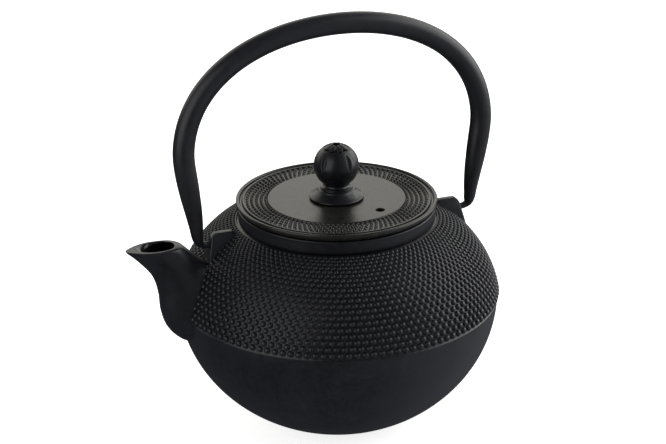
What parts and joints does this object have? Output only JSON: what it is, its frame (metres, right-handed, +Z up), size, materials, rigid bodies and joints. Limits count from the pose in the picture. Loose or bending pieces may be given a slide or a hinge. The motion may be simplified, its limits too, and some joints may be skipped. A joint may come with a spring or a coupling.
{
  "type": "teapot",
  "caption": "Round cast-iron teapot with a hobnail shoulder, short curved spout, loose lid with a ball knob, swinging hoop handle and lift-out infuser.",
  "frame": {"origin": "centre of the flat base, at the height the pot stands on", "axes": "+Z up, the spout points along -X, and the upright handle and its two lugs lie in the XZ plane"},
  "size_m": [0.1936, 0.165, 0.2144],
  "materials": {
    "cast_iron_body": "satin black baked enamel over cast iron",
    "cast_iron_lid": "satin black baked enamel over cast iron, smoother on the middle disc",
    "cast_iron_knob": "satin black baked enamel, slightly polished by handling",
    "enamelled_steel_bail": "satin black paint over rolled sheet steel",
    "plain_steel": "turned stainless steel",
    "stainless_sheet": "drawn and polished stainless sheet",
    "stainless_mesh": "woven stainless wire cloth"
  },
  "bodies": {
    "pot": {"pot_body": "cast_iron_body"},
    "bail": {"bail_handle": "enamelled_steel_bail"},
    "infuser": {"infuser_rim": "stainless_sheet", "infuser_sleeve": "stainless_mesh", "infuser_base_ring": "stainless_sheet", "infuser_floor": "stainless_mesh"},
    "lid_set": {"lid": "cast_iron_lid", "lid_knob": "cast_iron_knob", "knob_washer": "plain_steel", "knob_screw": "plain_steel"}
  },
  "joints": [
    {"name": "bail_swing", "type": "hinge", "parent": "pot", "child": "bail", "pos_m": [0, 0, 0.103], "axis": [1, 0, 0], "range_deg": [-112, 112]},
    {"name": "infuser_lift", "type": "slide", "parent": "pot", "child": "infuser", "axis": [0, 0, 1], "range_m": [0, 0.054]},
    {"name": "lid_lift", "type": "slide", "parent": "infuser", "child": "lid_set", "axis": [0, 0, 1], "range_m": [0, 0.05]}
  ]
}
